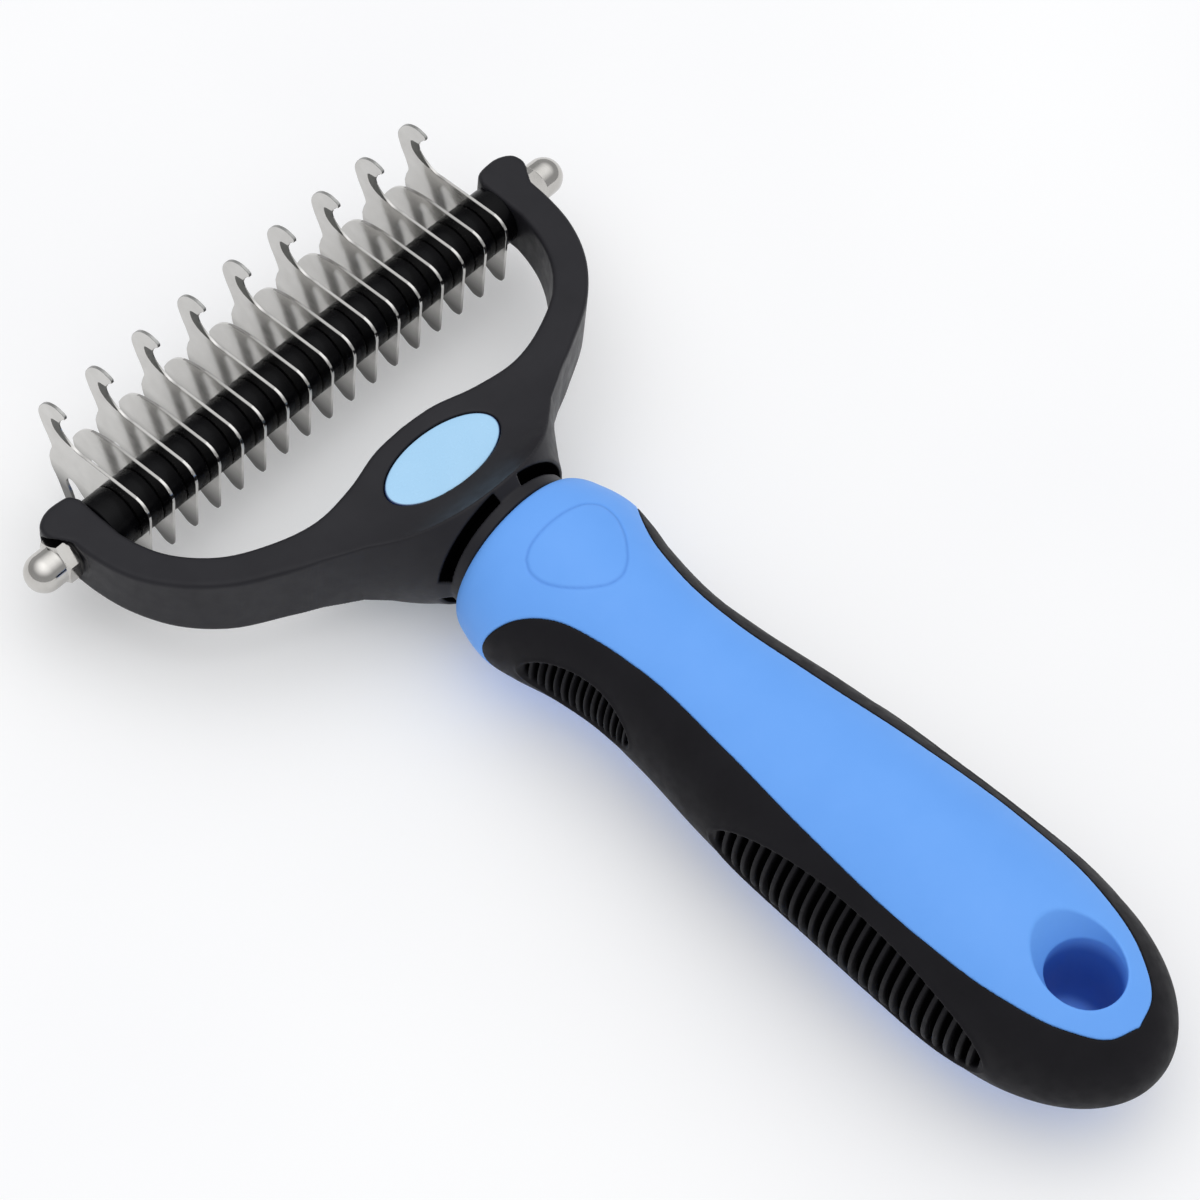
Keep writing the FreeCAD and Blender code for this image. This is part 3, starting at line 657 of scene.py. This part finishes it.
def make_nut(name, body, side):
    """Hexagon nut with chamfered corners under a dome."""
    flats = 3.2
    face_radius = 3.12
    hex_height = 2.7
    dome_radius = 3.05
    height = 7.8
    sides = 96
    slope = math.tan(math.radians(30))

    def hexagon(turn):
        return flats / math.cos((turn + math.pi / 6) % (math.pi / 3) - math.pi / 6)

    wall_end = height - dome_radius
    dome = [(hex_height + 0.12, dome_radius)]
    for k in range(13):
        turn = math.pi / 2 * k / 12
        dome.append((wall_end + dome_radius * math.sin(turn), dome_radius * math.cos(turn)))
    rows = []
    angles = [2 * math.pi * k / sides for k in range(sides)]
    rows.append([(4.6, 0.0)] * sides)
    rows.append([(4.6, BORE_RADIUS)] * sides)
    rows.append([(0.0, BORE_RADIUS)] * sides)
    rows.append([(0.0, face_radius)] * sides)
    rows.append([((hexagon(a) - face_radius) * slope, hexagon(a)) for a in angles])
    rows.append([(hex_height - (hexagon(a) - face_radius) * slope, hexagon(a)) for a in angles])
    rows.append([(hex_height, face_radius)] * sides)
    rows += [[point] * sides for point in dome]
    vertices = [
        (side * (NUT_SEAT + NUT_GAP + x), r * math.cos(a), r * math.sin(a))
        for row in rows for (x, r), a in zip(row, angles)
    ]
    small_piece(f"{name}_dome", vertices, grid_faces(len(rows), sides), nut_chrome, [name], body, 20)


REAR_EDGE = -6.4
REAR_CORNER = [(REAR_EDGE, 4.4), (-6.18, 5.51), (-5.55, 6.45), (-4.61, 7.08), (-3.5, 7.3)]
TOOTH_BACK = [(14.7, -0.8), (14.4, -2.4), (13.1, -4.8), (11.8, -7.8), (10.4, -11.1), (9.1, -14.0)]
TOOTH_TIP = [(9.1, -14.0), (8.6, -14.75), (8.1, -15.0), (7.65, -14.6), (7.6, -13.8)]
TOOTH_FRONT = [(7.6, -13.8), (9.1, -9.6), (10.2, -6.1), (11.2, -3.4), (10.5, -2.3), (9.4, -2.4),
               (8.2, -3.5), (6.5, -4.7), (4.0, -5.1)]
REAR_LOBE = [(-1.6, -5.1), (-3.3, -6.1), (-5.0, -6.8), (-6.2, -6.4), (REAR_EDGE, -5.2)]
HOOK_EDGE = [(6.4, 6.4), (9.0, 6.25), (10.4, 6.9), (11.7, 8.0), (12.3, 9.2), (12.0, 10.6),
             (11.4, 11.5)]
HOOK_BEAK = [(11.4, 11.5), (10.95, 12.0), (11.0, 12.5), (11.5, 12.8)]
HOOK_BACK = [(11.5, 12.8), (12.8, 12.95), (14.6, 12.3), (16.1, 10.5), (16.6, 8.6), (15.9, 6.4),
             (14.6, 3.9), (14.05, 2.3), (14.4, 0.9), (14.7, -0.8)]
SHORT_TOP = [(6.0, 6.4), (9.0, 5.6), (10.9, 4.7), (12.5, 3.3), (14.0, 0.9), (14.7, -0.8)]


def blade_outline(hooked):
    """Outline points (y, z), each with its grind's width, its edge's thickness and whether it is rim."""
    plain = (0.06, 0.2)
    ground = (1.6, 0.06)
    sections = [(through(REAR_CORNER, 5), plain, False)]
    if hooked:
        sections += [(through(HOOK_EDGE, 7), ground, False), (through(HOOK_BEAK, 4), plain, True),
                     (through(HOOK_BACK, 6), plain, True)]
    else:
        sections += [(through(SHORT_TOP, 6), plain, False)]
    sections += [(through(TOOTH_BACK, 5), plain, False), (through(TOOTH_TIP, 3), plain, False),
                 (through(TOOTH_FRONT, 6), plain, False), (through(REAR_LOBE, 5), plain, False)]
    points, widths, rests, rims = [], [], [], []
    for section, (width, rest), rim in sections:
        count = len(section)
        for k, point in enumerate(section):
            if points and math.dist(points[-1], point) < 1e-6:
                continue
            share = k / (count - 1)
            fade = step_between(share, 0.16, 0.6) * (1 - step_between(share, 0.69, 0.77))
            points.append(tuple(point))
            widths.append(plain[0] + (width - plain[0]) * fade)
            rests.append(plain[1] + (rest - plain[1]) * fade)
            rims.append(rim)
    return np.array(points), np.array(widths), np.array(rests), rims


def make_blade(name, middle, hooked):
    outline, width, rest, rims = blade_outline(hooked)
    ahead = np.roll(outline, -1, axis=0) - np.roll(outline, 1, axis=0)
    normal = np.stack([-ahead[:, 1], ahead[:, 0]], axis=1)
    normal /= np.linalg.norm(normal, axis=1)[:, None]
    area = 0.5 * np.sum(outline[:, 0] * np.roll(outline[:, 1], -1)
                        - outline[:, 1] * np.roll(outline[:, 0], -1))
    inner = outline + normal * width[:, None] * np.sign(area)
    count = len(outline)
    half = BLADE_THICK / 2
    rings = [(inner, half), (outline, rest), (outline, -rest), (inner, -half)]
    vertices = []
    for ring, x in rings:
        x = np.broadcast_to(x, count)
        vertices += [(middle + dx, y, z) for dx, (y, z) in zip(x, ring)]
    faces = grid_faces(4, count)
    holes = 40
    circle = [(BORE_RADIUS * math.cos(2 * math.pi * k / holes),
               BORE_RADIUS * math.sin(2 * math.pi * k / holes)) for k in range(holes)]
    start = len(vertices)
    vertices += [(middle + half, y, z) for y, z in circle]
    vertices += [(middle - half, y, z) for y, z in circle]
    faces += [(start + k, start + (k + 1) % holes, start + holes + (k + 1) % holes, start + holes + k)
              for k in range(holes)]
    loops = [[Vector((y, z, 0)) for y, z in inner], [Vector((y, z, 0)) for y, z in circle]]
    for triangle in tessellate_polygon(loops):
        faces.append([k if k < count else start + k - count for k in triangle])
        faces.append([k + 3 * count if k < count else start + holes + k - count for k in triangle])
    # Faces on the ground bevels and hook rims take the steels that are painted darker, as painted dark
    # reflection.
    kinds = np.zeros(len(faces), int)
    for k in range(count):
        wide = width[k] + width[(k + 1) % count] > 0.5
        kinds[[k, 2 * count + k]] = 1 if wide else 2 * rims[k]
        kinds[count + k] = 2 * rims[k]
    small_piece(f"{name}_plate", vertices, faces, (blade_steel, ground_steel_painted_dark, rim_steel_painted_dark), [name],
                crease=12, kinds=kinds)


def make_stack():
    hooks = shorts = 0
    for number in range(BLADE_TOTAL):
        middle = (number - (BLADE_TOTAL - 1) / 2) * BLADE_PITCH
        if number % 2 == 0:
            hooks += 1
            make_blade(f"hook_blade_{hooks}", middle, True)
        else:
            shorts += 1
            make_blade(f"short_blade_{shorts}", middle, False)
    for number in range(1, BLADE_TOTAL):
        middle = (number - BLADE_TOTAL / 2) * BLADE_PITCH
        make_spacer(f"spacer_{number:02d}", middle, BLADE_PITCH - BLADE_THICK)
    stack_end = ((BLADE_TOTAL - 1) * BLADE_PITCH + BLADE_THICK) / 2
    for name, side in [("end_spacer_left", -1), ("end_spacer_right", 1)]:
        make_spacer(name, side * (ARM_INNER + stack_end) / 2, ARM_INNER - stack_end)


make_handle()
make_yoke()
make_badge("badge_top", 1)
make_badge("badge_bottom", -1)
make_nut("cap_nut_left", "left_nut", -1)
make_nut("cap_nut_right", "right_nut", 1)
make_stack()
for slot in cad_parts["blade_shaft"].material_slots:
    slot.material = shaft_steel


# ---------------------------------------------------------------- floor, light and camera

def make_floor():
    reach = 6.0
    mesh = bpy.data.meshes.new("floor")
    height = FLOOR_HEIGHT * MM
    corners = [(-reach, -reach, height), (reach, -reach, height), (reach, reach, height),
               (-reach, reach, height)]
    mesh.from_pydata(corners, [], [(0, 1, 2, 3)])
    floor = bpy.data.objects.new("floor", mesh)
    floor.location = SHAFT_PLACE
    scene.collection.objects.link(floor)
    m = Nodes("floor_card")
    m.colour(m.blend(m.spread(m.noise(0.01, 2), 0, 1), (0.80, 0.80, 0.81), (0.84, 0.84, 0.84)))
    m.roughness(m.spread(m.noise(0.05, 2), 0.6, 0.7))
    m.bump(m.noise(1.0, 2), 0.01, 0.3)
    m.set(Specular_IOR_Level=0.25, Emission_Color=(1, 1, 1, 1), Emission_Strength=FLOOR_GLOW)
    mesh.materials.append(m.material)


ZENITH_GLOW = 1.8


def make_light():
    """A large soft dome, bright overhead and fading to the horizon."""
    world = bpy.data.worlds.new("studio")
    world.use_nodes = True
    tree = world.node_tree
    glow = tree.nodes["Background"]
    glow.inputs["Color"].default_value = (0.985, 0.99, 1.0, 1)
    way = tree.nodes.new("ShaderNodeTexCoord")
    height = tree.nodes.new("ShaderNodeSeparateXYZ")
    above = tree.nodes.new("ShaderNodeMath")
    above.operation = "MAXIMUM"
    fade = tree.nodes.new("ShaderNodeMath")
    fade.operation = "POWER"
    fade.inputs[1].default_value = 2.0
    level = tree.nodes.new("ShaderNodeMath")
    level.operation = "MULTIPLY"
    level.inputs[1].default_value = ZENITH_GLOW
    seen = tree.nodes.new("ShaderNodeLightPath")
    pale = tree.nodes.new("ShaderNodeMix")
    pale.inputs["B"].default_value = 0.9
    tree.links.new(way.outputs["Generated"], height.inputs["Vector"])
    tree.links.new(height.outputs["Z"], above.inputs[0])
    tree.links.new(above.outputs["Value"], fade.inputs[0])
    tree.links.new(fade.outputs["Value"], level.inputs[0])
    tree.links.new(seen.outputs["Is Camera Ray"], pale.inputs["Factor"])
    tree.links.new(level.outputs["Value"], pale.inputs["A"])
    tree.links.new(pale.outputs["Result"], glow.inputs["Strength"])
    scene.world = world


def make_camera():
    """A long lens looking down over the left side of the handle."""
    azimuth, elevation, roll = math.radians(-52.95), math.radians(56.82), math.radians(7.35)
    place = SHAFT_PLACE + Vector((-0.2870, -0.2768, 0.5536))
    forward = Vector((-math.sin(azimuth) * math.cos(elevation), math.cos(azimuth) * math.cos(elevation),
                      -math.sin(elevation)))
    level = forward.cross(Vector((0, 0, 1))).normalized()
    upright = level.cross(forward)
    right = level * math.cos(roll) + upright * math.sin(roll)
    up = right.cross(forward)
    lens = bpy.data.cameras.new("camera")
    lens.sensor_width = 36.0
    lens.lens = 138.23
    lens.clip_start = 0.01
    camera = bpy.data.objects.new("camera", lens)
    turn = Matrix((right, up, -forward)).transposed().to_4x4()
    camera.matrix_world = Matrix.Translation(place) @ turn
    scene.collection.objects.link(camera)
    scene.camera = camera


make_floor()
make_light()
make_camera()
scene.view_settings.view_transform = "Standard"
